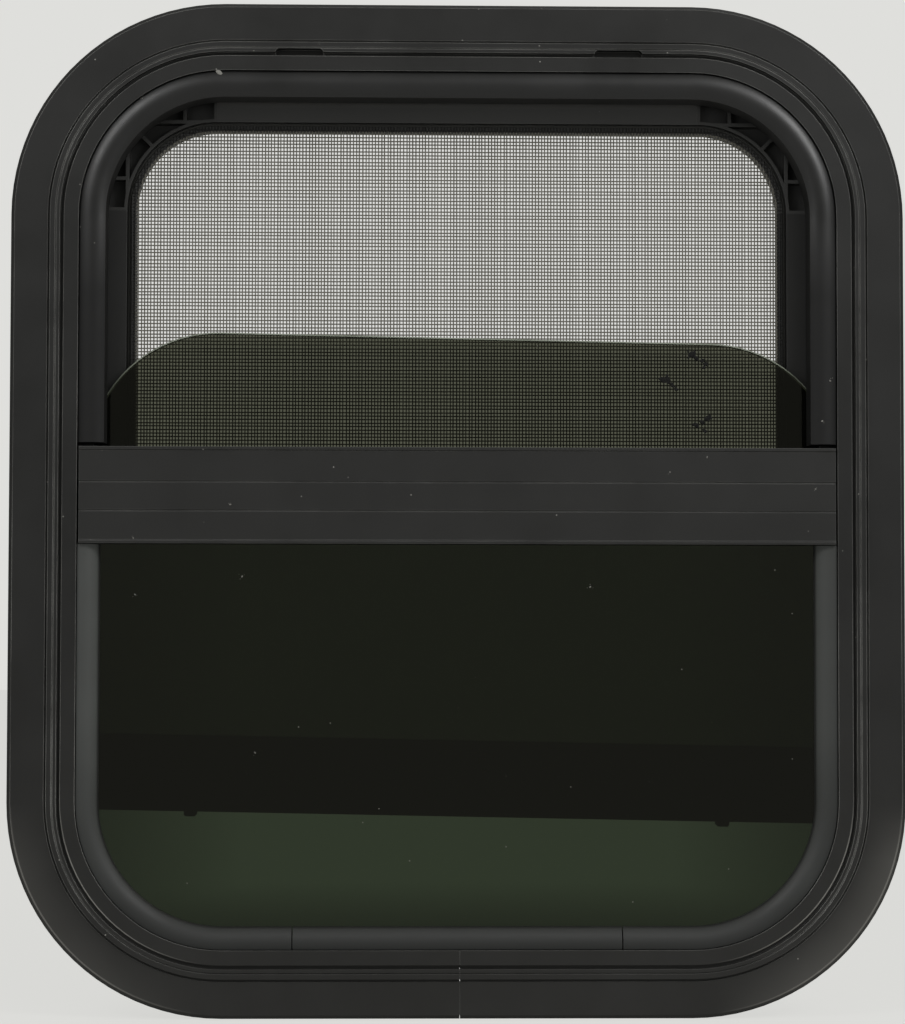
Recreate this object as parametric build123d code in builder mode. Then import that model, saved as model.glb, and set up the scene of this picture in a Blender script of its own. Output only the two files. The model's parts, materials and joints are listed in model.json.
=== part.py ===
from build123d import *
from math import cos, radians, sin, sqrt
import os

os.makedirs("parts", exist_ok=True)

# Caravan window, millimetres. X runs to the right seen from outside, Y runs
# into the caravan, Z runs up. Y = 0 is the wall skin, where the flange lies.
# The origin is on the outer land of the flange, at the middle of the bottom.
# Insets are measured inwards from the outline of the flange.

# Outline of the flange
flange_width = 394.0
flange_height = 446.0
flange_radius = 94.0
flange_thick = 4.2
rim_run = 1.7
rim_drop = 2.0
joint_gap = 0.3
joint_place = 1.0

# Back of the flange: two lands with a pocket for sealant between them
outer_land = 5.0
sealant_pocket = 10.5
pocket_depth = 2.0

# Face of the extrusion, from the plain face inwards
plain_face = 16.3
first_groove = 1.0
first_groove_depth = 1.0
ridge = 4.4
ridge_rise = 1.0
vee = 0.6
vee_depth = 0.5
vee_share = 0.58
second_groove = 1.6
second_groove_depth = 1.4
band = 6.5
band_rise = 0.2
band_thick = 3.0

# Neck through the wall and the legs inside it
neck_inset = 21.0
neck_wall = 1.8
neck_depth = 34.0
leg_reach = 13.2
leg_thick = 1.5
sash_channel = 8.0
screw_race = 2.8
screw_race_wall = 1.6
screw_race_depth = 5.6

# Weep slots in the ridge at the top
weep_length = 21.0
weep_spacing = 141.0
weep_start = 20.1
weep_end = 23.1
weep_chamfer = 1.2
weep_floor = 1.0

# Splice plate behind the butt joint
splice_length = 80.0
splice_thick = 1.5

# Fixed glass and its gasket, bed and setting blocks
glass_thick = 4.0
gasket_space = 3.0
bed_thick = 0.6
glass_edge_gap = 2.4
gasket_width = 9.6
gasket_bulge = 1.9
gasket_rear = 1.0
gasket_piece = 144.0
gasket_cut = 0.5
bed_start = 4.2
bed_end = 12.2
block_length = 25.0
block_spacing = 150.0
rubber_gap = 0.3

# Meeting rail
rail_raise = 5.4
rail_height = 42.5
rail_proud = 0.6
rail_wall = 1.4
rail_lip = 0.5
rail_lip_height = 1.2
rail_line = 0.8
rail_line_depth = 0.4
rail_line_drops = (15.3, 28.0)
rail_end_gap = 0.9
rail_pocket = 8.0
rail_back_lip = 1.2
pile_height = 5.0
pile_seat = 0.7
pile_drop = 6.5

# Upper seal, a bulb with a wiper against the sash glass
seal_width = 11.4
seal_bulge = 2.0
wiper_thick = 2.5
wiper_gap = 0.4
seal_end_gap = 1.8

# Glass run that lines the sash channel
run_wall = 1.5
run_reach = 12.0

# Sliding sash
sash_side_gap = 5.1
sash_top_inset = 30.8
sash_rail_drop = 4.25
sash_rest_drop = 6.9
sash_radius = 58.0
sash_rack = 1.1
sash_glass_thick = 4.0
sash_arris = 0.6
sash_rail_height = 33.5
sash_rail_front = 1.4
sash_rail_back = 2.4
sash_rail_gap = 0.3
sash_pocket = 26.0
sash_gasket = 0.4
pull_reach = 9.0
pull_thick = 2.4
pull_edge = 0.8
bumper_length = 5.5
bumper_height = 2.2
bumper_inset = 42.0

# Insect screen
screen_edge = 30.0
screen_rail_width = 19.0
spline_groove = 1.6
screen_lip = 2.5
screen_depth = 7.8
screen_lip_drop = 1.2
spline_depth = 3.8
screen_radius = 36.0
screen_wall = 1.0
screen_foot = 2.0
mesh_thick = 0.3
spline_radius = 0.7
key_tongue = 22.0
key_gap = 0.3
key_rib = 1.6
key_step = 14.5
key_wall = 1.4
key_floor = 1.2

# Places that follow from the sizes
half_width = flange_width / 2
low = -outer_land / 2
high = low + flange_height
pocket_end = outer_land + sealant_pocket
ridge_start = plain_face + first_groove
ridge_end = ridge_start + ridge
vee_middle = ridge_start + ridge * vee_share
band_start = ridge_end + second_groove
band_end = band_start + band
face = -flange_thick
ridge_face = face - ridge_rise
band_face = face - band_rise
band_back = band_face + band_thick
neck_inner = neck_inset + neck_wall
leg_end = neck_inner + leg_reach
glass_front = band_back + gasket_space
glass_back = glass_front + glass_thick
leg_2 = glass_back + bed_thick
channel_front = leg_2 + leg_thick
channel_back = channel_front + sash_channel
leg_3_back = channel_back + leg_thick
race_floor = neck_depth - screw_race_depth
race_base = race_floor - screw_race_wall
race_end = neck_inner + screw_race + screw_race_wall
rail_centre = low + flange_height / 2 + rail_raise
rail_top = rail_centre + rail_height / 2
rail_bottom = rail_centre - rail_height / 2
rail_half = half_width - band_end - rail_end_gap
corner_x = half_width - flange_radius
corner_z = low + flange_radius


def facing(y):
    """A plane parallel to the wall at depth y, drawn as seen from outside."""
    return Plane.XZ.offset(-y)


def across(x, z, along):
    """A section plane over the frame: inset runs right, depth runs up."""
    inward = Vector(0, 1, 0).cross(Vector(*along))
    return Plane(origin=(x, 0, z), x_dir=inward, z_dir=along)


left, right, up = (-1, 0, 0), (1, 0, 0), (0, 0, 1)

# Outer frame: one extrusion bent round the outline, its ends butted at the bottom
with BuildPart() as outer_frame:
    with BuildLine(Plane.XZ) as frame_path:
        FilletPolyline(
            (joint_place - joint_gap / 2, low),
            (-half_width, low),
            (-half_width, high),
            (half_width, high),
            (half_width, low),
            (joint_place + joint_gap / 2, low),
            radius=flange_radius,
        )
    with BuildSketch(across(joint_place - joint_gap / 2, low, left)):
        with BuildLine():
            Polyline(
                (0, 0),
                (0, face + rim_drop),
                (rim_run, face),
                (plain_face, face),
                (plain_face, face + first_groove_depth),
                (ridge_start, face + first_groove_depth),
                (ridge_start, ridge_face),
                (vee_middle - vee / 2, ridge_face),
                (vee_middle, ridge_face + vee_depth),
                (vee_middle + vee / 2, ridge_face),
                (ridge_end, ridge_face),
                (ridge_end, face + second_groove_depth),
                (band_start, face + second_groove_depth),
                (band_start, band_face),
                (band_end, band_face),
                (band_end, band_back),
                (neck_inner, band_back),
                (neck_inner, leg_2),
                (leg_end, leg_2),
                (leg_end, channel_front),
                (neck_inner, channel_front),
                (neck_inner, channel_back),
                (leg_end, channel_back),
                (leg_end, leg_3_back),
                (neck_inner, leg_3_back),
                (neck_inner, race_base),
                (race_end, race_base),
                (race_end, neck_depth),
                (race_end - screw_race_wall, neck_depth),
                (race_end - screw_race_wall, race_floor),
                (neck_inner, race_floor),
                (neck_inner, neck_depth),
                (neck_inset, neck_depth),
                (neck_inset, 0),
                (pocket_end, 0),
                (pocket_end, -pocket_depth),
                (outer_land, -pocket_depth),
                (outer_land, 0),
                close=True,
            )
        make_face()
    sweep(path=frame_path.wires()[0])
    # Weep slots: through the inner edge of the ridge, deep enough to drain the channel
    with BuildSketch(facing(-weep_floor)) as weeps:
        with Locations(
            (-weep_spacing / 2, high - (weep_start + weep_end) / 2),
            (weep_spacing / 2, high - (weep_start + weep_end) / 2),
        ):
            Rectangle(weep_length, weep_end - weep_start)
        chamfer(weeps.vertices().group_by(Axis.Y)[-1], weep_chamfer)
    extrude(amount=flange_thick + ridge_rise - weep_floor, mode=Mode.SUBTRACT)
outer_frame.part.label = "outer_frame"
export_step(outer_frame.part, "parts/outer_frame.step")

# Splice plate: bridges the butt joint on the inner face of the neck
with BuildPart() as frame_splice:
    with BuildSketch(facing(race_base - rubber_gap)):
        with Locations((joint_place, low + neck_inner + splice_thick / 2)):
            Rectangle(splice_length, splice_thick)
    extrude(amount=race_base - leg_3_back - 2 * rubber_gap)
frame_splice.part.label = "frame_splice"
export_step(frame_splice.part, "parts/frame_splice.step")

# Fixed glass: lower half, rounded at the bottom, its top edge in the meeting rail
glass_inset = neck_inner + glass_edge_gap
glass_top = rail_bottom + rail_pocket - rubber_gap
with BuildPart() as fixed_glass:
    with BuildSketch(facing(glass_back)) as pane:
        with BuildLine():
            Polyline(
                (-half_width + glass_inset, glass_top),
                (-half_width + glass_inset, low + glass_inset),
                (half_width - glass_inset, low + glass_inset),
                (half_width - glass_inset, glass_top),
                close=True,
            )
        make_face()
        fillet(pane.vertices().sort_by(Axis.Y)[:2], flange_radius - glass_inset)
    extrude(amount=glass_thick)
fixed_glass.part.label = "fixed_glass"
export_step(fixed_glass.part, "parts/fixed_glass.step")

# Glazing bed: a tape frame between the glass and the leg and rail behind it
bed_outer = neck_inner + bed_start
bed_inner = neck_inner + bed_end
with BuildPart() as fixed_glass_bed:
    with BuildSketch(facing(leg_2)) as tape:
        with BuildLine():
            Polyline(
                (-half_width + bed_outer, glass_top),
                (-half_width + bed_outer, low + bed_outer),
                (half_width - bed_outer, low + bed_outer),
                (half_width - bed_outer, glass_top),
                close=True,
            )
        make_face()
        fillet(tape.vertices().sort_by(Axis.Y)[:2], flange_radius - bed_outer)
    extrude(amount=bed_thick)
    with BuildSketch(facing(leg_2)) as daylight:
        with BuildLine():
            Polyline(
                (-half_width + bed_inner, rail_bottom),
                (-half_width + bed_inner, low + bed_inner),
                (half_width - bed_inner, low + bed_inner),
                (half_width - bed_inner, rail_bottom),
                close=True,
            )
        make_face()
        fillet(daylight.vertices().sort_by(Axis.Y)[:2], flange_radius - bed_inner)
    extrude(amount=bed_thick, mode=Mode.SUBTRACT)
fixed_glass_bed.part.label = "fixed_glass_bed"
export_step(fixed_glass_bed.part, "parts/fixed_glass_bed.step")

# Setting blocks: carry the lower edge of the fixed glass
with BuildPart() as setting_block_left:
    with BuildSketch(facing(glass_back)):
        with Locations((-block_spacing / 2, low + neck_inner + glass_edge_gap / 2)):
            Rectangle(block_length, glass_edge_gap)
    extrude(amount=glass_thick)
setting_block_left.part.label = "setting_block_left"
export_step(setting_block_left.part, "parts/setting_block_left.step")

with BuildPart() as setting_block_right:
    mirror(setting_block_left.part, about=Plane.YZ)
setting_block_right.part.label = "setting_block_right"
export_step(setting_block_right.part, "parts/setting_block_right.step")

# Gasket of the fixed glass: a D section on a foot, in three pieces
gasket_start = band_end + rubber_gap
gasket_end = gasket_start + gasket_width
gasket_side = band_face + gasket_rear
gasket_half = gasket_piece / 2
gasket_foot = (
    (gasket_start, gasket_side),
    (gasket_start, band_back),
    (neck_inner + rubber_gap, band_back),
    (neck_inner + rubber_gap, glass_front),
    (gasket_end, glass_front),
    (gasket_end, glass_front - gasket_rear),
)
with BuildPart() as fixed_glass_gasket_bottom:
    with BuildSketch(across(gasket_half, low, left)):
        with BuildLine():
            Polyline(*gasket_foot)
            SagittaArc(gasket_foot[-1], gasket_foot[0], gasket_bulge)
        make_face()
    extrude(amount=gasket_piece)
fixed_glass_gasket_bottom.part.label = "fixed_glass_gasket_bottom"
export_step(fixed_glass_gasket_bottom.part, "parts/fixed_glass_gasket_bottom.step")

with BuildPart() as fixed_glass_gasket_left:
    with BuildLine(Plane.XZ) as gasket_path:
        FilletPolyline(
            (-gasket_half - gasket_cut, low),
            (-half_width, low),
            (-half_width, rail_bottom - rubber_gap),
            radius=flange_radius,
        )
    with BuildSketch(across(-gasket_half - gasket_cut, low, left)):
        with BuildLine():
            Polyline(*gasket_foot)
            SagittaArc(gasket_foot[-1], gasket_foot[0], gasket_bulge)
        make_face()
    sweep(path=gasket_path.wires()[0])
fixed_glass_gasket_left.part.label = "fixed_glass_gasket_left"
export_step(fixed_glass_gasket_left.part, "parts/fixed_glass_gasket_left.step")

with BuildPart() as fixed_glass_gasket_right:
    mirror(fixed_glass_gasket_left.part, about=Plane.YZ)
fixed_glass_gasket_right.part.label = "fixed_glass_gasket_right"
export_step(fixed_glass_gasket_right.part, "parts/fixed_glass_gasket_right.step")

# Meeting rail: a hollow bar across the middle with the glass pocket underneath
rail_face = band_face - rail_proud
rail_back = leg_2 + rail_back_lip
pocket_front = glass_front - rail_proud
pocket_top = rail_bottom + rail_pocket
line_1 = rail_top - rail_line_drops[0]
line_2 = rail_top - rail_line_drops[1]
pile_middle = rail_top - pile_drop
with BuildPart() as meeting_rail:
    with BuildSketch(Plane.YZ):
        with BuildLine():
            Polyline(
                (rail_face - rail_lip, rail_top),
                (rail_face - rail_lip, rail_top - rail_lip_height),
                (rail_face, rail_top - rail_lip_height - rail_lip),
                (rail_face, line_1 + rail_line / 2),
                (rail_face + rail_line_depth, line_1),
                (rail_face, line_1 - rail_line / 2),
                (rail_face, line_2 + rail_line / 2),
                (rail_face + rail_line_depth, line_2),
                (rail_face, line_2 - rail_line / 2),
                (rail_face, rail_bottom + rail_lip_height + rail_lip),
                (rail_face - rail_lip, rail_bottom + rail_lip_height),
                (rail_face - rail_lip, rail_bottom),
                (pocket_front, rail_bottom),
                (pocket_front, pocket_top),
                (leg_2, pocket_top),
                (leg_2, rail_bottom),
                (rail_back, rail_bottom),
                (rail_back, pile_middle - pile_height / 2),
                (rail_back - pile_seat, pile_middle - pile_height / 2),
                (rail_back - pile_seat, pile_middle + pile_height / 2),
                (rail_back, pile_middle + pile_height / 2),
                (rail_back, rail_top),
                close=True,
            )
        make_face()
        with BuildLine():
            Polyline(
                (rail_face + rail_wall, rail_top - rail_wall),
                (rail_face + rail_wall, rail_bottom + rail_wall),
                (pocket_front - rail_wall, rail_bottom + rail_wall),
                (pocket_front - rail_wall, pocket_top + rail_wall),
                (leg_2 - rail_wall, pocket_top + rail_wall),
                (leg_2 - rail_wall, rail_top - rail_wall),
                close=True,
            )
        make_face(mode=Mode.SUBTRACT)
    extrude(amount=rail_half, both=True)
    # Notches at the ends, where the rail lies on the leg of the frame
    notch = rail_half - half_width + leg_end + rubber_gap
    with BuildSketch(facing(rail_back)):
        with Locations(
            (-rail_half + notch / 2, rail_centre),
            (rail_half - notch / 2, rail_centre),
        ):
            Rectangle(notch, rail_height)
    extrude(amount=rail_back_lip, mode=Mode.SUBTRACT)
meeting_rail.part.label = "meeting_rail"
export_step(meeting_rail.part, "parts/meeting_rail.step")

# Pile strip in the back of the meeting rail
sash_front = channel_front + (sash_channel - sash_glass_thick) / 2
sash_back = sash_front + sash_glass_thick
pile_half = half_width - leg_end - 2 * rubber_gap
with BuildPart() as meeting_rail_pile:
    with BuildSketch(Plane.YZ):
        with Locations(((rail_back - pile_seat + sash_front - wiper_gap) / 2, pile_middle)):
            Rectangle(
                sash_front - wiper_gap - rail_back + pile_seat,
                pile_height - 2 * rubber_gap,
            )
    extrude(amount=pile_half, both=True)
meeting_rail_pile.part.label = "meeting_rail_pile"
export_step(meeting_rail_pile.part, "parts/meeting_rail_pile.step")

# Upper seal: a bulb round the top half with a wiper on the sash glass
seal_start = band_end + rubber_gap
seal_end = seal_start + seal_width
seal_side = band_face + gasket_rear
seal_low = rail_top + seal_end_gap
with BuildPart() as upper_seal:
    with BuildLine(Plane.XZ) as seal_path:
        FilletPolyline(
            (-half_width, seal_low),
            (-half_width, high),
            (half_width, high),
            (half_width, seal_low),
            radius=flange_radius,
        )
    with BuildSketch(across(-half_width, seal_low, up)):
        with BuildLine():
            Polyline(
                (seal_start, seal_side),
                (seal_start, band_back),
                (neck_inner + rubber_gap, band_back),
                (neck_inner + rubber_gap, leg_2),
                (seal_end - wiper_thick, leg_2),
                (seal_end, sash_front - wiper_gap),
                (seal_end, seal_side),
            )
            SagittaArc((seal_end, seal_side), (seal_start, seal_side), seal_bulge)
        make_face()
    sweep(path=seal_path.wires()[0])
upper_seal.part.label = "upper_seal"
export_step(upper_seal.part, "parts/upper_seal.step")

# Glass run: lines the sash channel up one side, over the top and down the other
run_start = neck_inner + rubber_gap
run_end = run_start + run_reach
with BuildPart() as glass_run:
    with BuildLine(Plane.XZ) as run_path:
        FilletPolyline(
            (-half_width, corner_z),
            (-half_width, high),
            (half_width, high),
            (half_width, corner_z),
            radius=flange_radius,
        )
    with BuildSketch(across(-half_width, corner_z, up)):
        with BuildLine():
            Polyline(
                (run_start, channel_front),
                (run_end, channel_front),
                (run_end, channel_front + run_wall),
                (run_start + run_wall, channel_front + run_wall),
                (run_start + run_wall, channel_back - run_wall),
                (run_end, channel_back - run_wall),
                (run_end, channel_back),
                (run_start, channel_back),
                close=True,
            )
        make_face()
    sweep(path=run_path.wires()[0])
glass_run.part.label = "glass_run"
export_step(glass_run.part, "parts/glass_run.step")

# Sliding sash. It hangs a little out of square in its channel, so it is drawn
# on planes turned by that angle about the middle of its rail.
rack = radians(sash_rack)
sash_right = (cos(rack), 0, -sin(rack))
sash_half_width = half_width - run_start - run_wall - sash_side_gap
sash_low = corner_z - sash_rest_drop
sash_top = high - sash_top_inset - (rail_bottom - sash_rail_drop)
lowest = sash_rest_drop + sin(rack) * sash_half_width
leg_radius = flange_radius - leg_end
sash_rail_half = corner_x + sqrt(leg_radius**2 - lowest**2) - sash_rail_gap
glass_low = sash_rail_height - sash_pocket
bumper_x = sash_rail_half - bumper_inset


def sash_facing(y):
    """A plane parallel to the wall at depth y, turned with the sash."""
    return Plane(origin=(0, y, sash_low), x_dir=sash_right, z_dir=(0, -1, 0))


sash_section = Plane(origin=(0, 0, sash_low), x_dir=(0, 1, 0), z_dir=sash_right)

# Sash glass: rounded at the top, its lower edge held in the sash rail
with BuildPart() as sash_glass:
    with BuildSketch(sash_facing(sash_back)) as sash_pane:
        with BuildLine():
            Polyline(
                (-sash_half_width, sash_rail_height),
                (-sash_half_width, sash_top),
                (sash_half_width, sash_top),
                (sash_half_width, sash_rail_height),
                (sash_rail_half - sash_rail_gap, sash_rail_height),
                (sash_rail_half - sash_rail_gap, glass_low),
                (-sash_rail_half + sash_rail_gap, glass_low),
                (-sash_rail_half + sash_rail_gap, sash_rail_height),
                close=True,
            )
        make_face()
        fillet(sash_pane.vertices().sort_by(Axis.Y)[-2:], sash_radius)
    extrude(amount=sash_glass_thick)
    # Seamed edges, ground off where the faces meet the rim of the pane
    seams = sash_glass.edges().filter_by(lambda e: abs(e.tangent_at(0.5).Y) < 0.5)
    chamfer(seams, sash_arris)
sash_glass.part.label = "sash_glass"
export_step(sash_glass.part, "parts/sash_glass.step")

# Sash rail: a channel on the lower edge of the glass with a ledge to lift it by
rail_front_y = sash_front - sash_rail_front
rail_rear_y = sash_back + sash_rail_back
pocket_low = glass_low - sash_gasket
with BuildPart() as sash_rail:
    with BuildSketch(sash_section):
        with BuildLine():
            Polyline(
                (rail_front_y, 0),
                (rail_front_y, sash_rail_height),
                (sash_front - sash_gasket, sash_rail_height),
                (sash_front - sash_gasket, pocket_low),
                (sash_back + sash_gasket, pocket_low),
                (sash_back + sash_gasket, sash_rail_height),
                (rail_rear_y, sash_rail_height),
                (rail_rear_y, pull_thick),
                (rail_rear_y + pull_reach - pull_edge, pull_thick),
                (rail_rear_y + pull_reach, pull_thick - pull_edge),
                (rail_rear_y + pull_reach, pull_edge),
                (rail_rear_y + pull_reach - pull_edge, 0),
                close=True,
            )
        make_face()
    extrude(amount=sash_rail_half, both=True)
sash_rail.part.label = "sash_rail"
export_step(sash_rail.part, "parts/sash_rail.step")

# Gasket of the sash rail: a thin U round the edge of the glass
with BuildPart() as sash_rail_gasket:
    with BuildSketch(sash_section):
        with BuildLine():
            Polyline(
                (sash_front - sash_gasket, sash_rail_height),
                (sash_front - sash_gasket, pocket_low),
                (sash_back + sash_gasket, pocket_low),
                (sash_back + sash_gasket, sash_rail_height),
                (sash_back, sash_rail_height),
                (sash_back, glass_low),
                (sash_front, glass_low),
                (sash_front, sash_rail_height),
                close=True,
            )
        make_face()
    extrude(amount=sash_rail_half - sash_rail_gap, both=True)
sash_rail_gasket.part.label = "sash_rail_gasket"
export_step(sash_rail_gasket.part, "parts/sash_rail_gasket.step")

# Bumpers under the sash rail
with BuildPart() as sash_bumper_left:
    with BuildSketch(sash_facing(rail_rear_y - rubber_gap)) as foot:
        with Locations((-bumper_x, -bumper_height / 2)):
            Rectangle(bumper_length, bumper_height)
        chamfer(foot.vertices().sort_by(Axis.Y)[:2], bumper_height / 3)
    extrude(amount=rail_rear_y - rail_front_y - 2 * rubber_gap)
sash_bumper_left.part.label = "sash_bumper_left"
export_step(sash_bumper_left.part, "parts/sash_bumper_left.step")

with BuildPart() as sash_bumper_right:
    with BuildSketch(sash_facing(rail_rear_y - rubber_gap)) as foot:
        with Locations((bumper_x, -bumper_height / 2)):
            Rectangle(bumper_length, bumper_height)
        chamfer(foot.vertices().sort_by(Axis.Y)[:2], bumper_height / 3)
    extrude(amount=rail_rear_y - rail_front_y - 2 * rubber_gap)
sash_bumper_right.part.label = "sash_bumper_right"
export_step(sash_bumper_right.part, "parts/sash_bumper_right.step")

# Insect screen, held against the back of the inner leg
screen_front = leg_3_back
screen_back = screen_front + screen_depth
groove_start = screen_edge + screen_rail_width
lip_start = groove_start + spline_groove
screen_in = lip_start + screen_lip
lip_front = screen_front + screen_lip_drop
groove_floor = lip_front + spline_depth
arc_x = half_width - screen_in - screen_radius
arc_z = high - screen_in - screen_radius
mesh_low = rail_top - screen_foot
screen_low = mesh_low - screen_in
turn_x = half_width - screen_in
turn_z = mesh_low

rail_outline = (
    (screen_edge, screen_front),
    (groove_start, screen_front),
    (groove_start, groove_floor),
    (lip_start, groove_floor),
    (lip_start, lip_front),
    (screen_in, lip_front),
    (screen_in, screen_back),
    (screen_edge, screen_back),
)
rail_hollow = (
    (screen_edge + screen_wall, screen_front + screen_wall),
    (groove_start - screen_wall, screen_front + screen_wall),
    (groove_start - screen_wall, screen_back - screen_wall),
    (screen_edge + screen_wall, screen_back - screen_wall),
)
tongue_start = screen_edge + screen_wall + key_gap
tongue_end = groove_start - screen_wall - key_gap
tongue_front = screen_front + screen_wall + key_gap
tongue_back = screen_back - screen_wall - key_gap
tongue_outline = (
    (tongue_start, tongue_front),
    (tongue_end, tongue_front),
    (tongue_end, tongue_back),
    (tongue_start, tongue_back),
)

# Screen rails: hollow bars with a spline groove and an inner lip
with BuildPart() as screen_top_rail:
    with BuildSketch(across(-arc_x, high, right)):
        with BuildLine():
            Polyline(*rail_outline, close=True)
        make_face()
        with BuildLine():
            Polyline(*rail_hollow, close=True)
        make_face(mode=Mode.SUBTRACT)
    extrude(amount=2 * arc_x)
screen_top_rail.part.label = "screen_top_rail"
export_step(screen_top_rail.part, "parts/screen_top_rail.step")

with BuildPart() as screen_bottom_rail:
    with BuildSketch(across(turn_x, screen_low, left)):
        with BuildLine():
            Polyline(*rail_outline, close=True)
        make_face()
        with BuildLine():
            Polyline(*rail_hollow, close=True)
        make_face(mode=Mode.SUBTRACT)
    extrude(amount=2 * turn_x)
screen_bottom_rail.part.label = "screen_bottom_rail"
export_step(screen_bottom_rail.part, "parts/screen_bottom_rail.step")

with BuildPart() as screen_left_rail:
    with BuildSketch(across(-half_width, turn_z, up)):
        with BuildLine():
            Polyline(*rail_outline, close=True)
        make_face()
        with BuildLine():
            Polyline(*rail_hollow, close=True)
        make_face(mode=Mode.SUBTRACT)
    extrude(amount=arc_z - turn_z)
screen_left_rail.part.label = "screen_left_rail"
export_step(screen_left_rail.part, "parts/screen_left_rail.step")

with BuildPart() as screen_right_rail:
    mirror(screen_left_rail.part, about=Plane.YZ)
screen_right_rail.part.label = "screen_right_rail"
export_step(screen_right_rail.part, "parts/screen_right_rail.step")

# Upper corner keys: curved, ribbed and open to the front, tongues in the rails
key_line = screen_radius + screen_lip + spline_groove
cell_inner = key_line + key_wall
cell_outer = screen_radius + screen_in - screen_edge - key_wall
with BuildPart() as screen_corner_top_left:
    with BuildSketch(across(-half_width, arc_z, up)):
        with BuildLine():
            Polyline(*rail_outline, close=True)
        make_face()
    revolve(axis=Axis((-arc_x, 0, arc_z), (0, 1, 0)), revolution_arc=90)
    # Cells between the curved walls, the straight walls of both legs and the ribs
    with BuildSketch(facing(screen_back - key_floor)):
        with Locations((-arc_x, arc_z)):
            Circle(cell_outer)
            Circle(cell_inner, mode=Mode.SUBTRACT)
        with Locations((-arc_x - key_wall, arc_z + key_wall)):
            Rectangle(cell_outer, cell_outer, align=(Align.MAX, Align.MIN), mode=Mode.INTERSECT)
        with Locations((-arc_x, arc_z + key_line)):
            Rectangle(2 * cell_outer, key_rib, mode=Mode.SUBTRACT)
        with Locations((-arc_x - key_line, arc_z)):
            Rectangle(key_rib, 2 * cell_outer, mode=Mode.SUBTRACT)
        with Locations((-arc_x - key_step, arc_z + cell_outer)):
            Rectangle(key_rib, 2 * (cell_outer - key_line), mode=Mode.SUBTRACT)
        with Locations((-arc_x - cell_outer, arc_z + key_step)):
            Rectangle(2 * (cell_outer - key_line), key_rib, mode=Mode.SUBTRACT)
        with Locations(Location((-arc_x, arc_z), 135)):
            Rectangle(2 * cell_outer, key_rib, mode=Mode.SUBTRACT)
    extrude(amount=screen_depth, mode=Mode.SUBTRACT)
    with BuildSketch(across(-half_width, arc_z, up)):
        with BuildLine():
            Polyline(*tongue_outline, close=True)
        make_face()
    extrude(amount=-key_tongue)
    with BuildSketch(across(-arc_x, high, right)):
        with BuildLine():
            Polyline(*tongue_outline, close=True)
        make_face()
    extrude(amount=key_tongue)
screen_corner_top_left.part.label = "screen_corner_top_left"
export_step(screen_corner_top_left.part, "parts/screen_corner_top_left.step")

with BuildPart() as screen_corner_top_right:
    mirror(screen_corner_top_left.part, about=Plane.YZ)
screen_corner_top_right.part.label = "screen_corner_top_right"
export_step(screen_corner_top_right.part, "parts/screen_corner_top_right.step")

# Lower corner keys: square, behind the meeting rail
key_side = screen_in - screen_edge
lip_side = screen_in - groove_start
with BuildPart() as screen_corner_bottom_left:
    with BuildSketch(facing(screen_back)):
        with Locations((-turn_x - key_side / 2, turn_z - key_side / 2)):
            Rectangle(key_side, key_side)
    extrude(amount=screen_depth)
    with BuildSketch(facing(lip_front)):
        with Locations((-turn_x - lip_side / 2, turn_z - lip_side / 2)):
            Rectangle(lip_side, lip_side)
    extrude(amount=screen_lip_drop, mode=Mode.SUBTRACT)
    with BuildSketch(facing(groove_floor)):
        with Locations((-turn_x - lip_side / 2, turn_z - lip_side + spline_groove / 2)):
            Rectangle(lip_side, spline_groove)
        with Locations((-turn_x - lip_side + spline_groove / 2, turn_z - lip_side / 2)):
            Rectangle(spline_groove, lip_side)
    extrude(amount=spline_depth, mode=Mode.SUBTRACT)
    with BuildSketch(across(-half_width, turn_z, up)):
        with BuildLine():
            Polyline(*tongue_outline, close=True)
        make_face()
    extrude(amount=key_tongue)
    with BuildSketch(across(-turn_x, screen_low, left)):
        with BuildLine():
            Polyline(*tongue_outline, close=True)
        make_face()
    extrude(amount=-key_tongue)
screen_corner_bottom_left.part.label = "screen_corner_bottom_left"
export_step(screen_corner_bottom_left.part, "parts/screen_corner_bottom_left.step")

with BuildPart() as screen_corner_bottom_right:
    mirror(screen_corner_bottom_left.part, about=Plane.YZ)
screen_corner_bottom_right.part.label = "screen_corner_bottom_right"
export_step(screen_corner_bottom_right.part, "parts/screen_corner_bottom_right.step")

# Insect mesh: a thin sheet drawn over the inner lip
mesh_reach = screen_lip
mesh_half = turn_x + mesh_reach
mesh_top = high - screen_in + mesh_reach
with BuildPart() as screen_mesh:
    with BuildSketch(facing(lip_front)) as net:
        with BuildLine():
            Polyline(
                (-mesh_half, mesh_low - mesh_reach),
                (-mesh_half, mesh_top),
                (mesh_half, mesh_top),
                (mesh_half, mesh_low - mesh_reach),
                close=True,
            )
        make_face()
        fillet(net.vertices().sort_by(Axis.Y)[-2:], screen_radius + mesh_reach)
    extrude(amount=mesh_thick)
screen_mesh.part.label = "screen_mesh"
export_step(screen_mesh.part, "parts/screen_mesh.step")

# Spline: a cord of four sides that holds the mesh in the groove
cord = screen_lip + spline_groove / 2
cord_half = turn_x + cord
cord_low = mesh_low - cord
cord_high = high - screen_in + cord
cord_y = lip_front + spline_groove / 2 + spline_radius
with BuildSketch(facing(cord_y)) as cord_loop:
    with BuildLine():
        Polyline(
            (-cord_half, cord_low),
            (-cord_half, cord_high),
            (cord_half, cord_high),
            (cord_half, cord_low),
            close=True,
        )
    make_face()
    fillet(cord_loop.vertices().sort_by(Axis.Y)[-2:], screen_radius + cord)
    fillet(cord_loop.vertices().sort_by(Axis.Y)[:2], spline_radius + mesh_thick)
cord_path = cord_loop.sketch.face().outer_wire()
with BuildPart() as screen_spline:
    with BuildSketch(Plane(origin=cord_path @ 0, z_dir=cord_path % 0)):
        RegularPolygon(spline_radius, 4)
    sweep(path=cord_path)
screen_spline.part.label = "screen_spline"
export_step(screen_spline.part, "parts/screen_spline.step")
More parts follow.
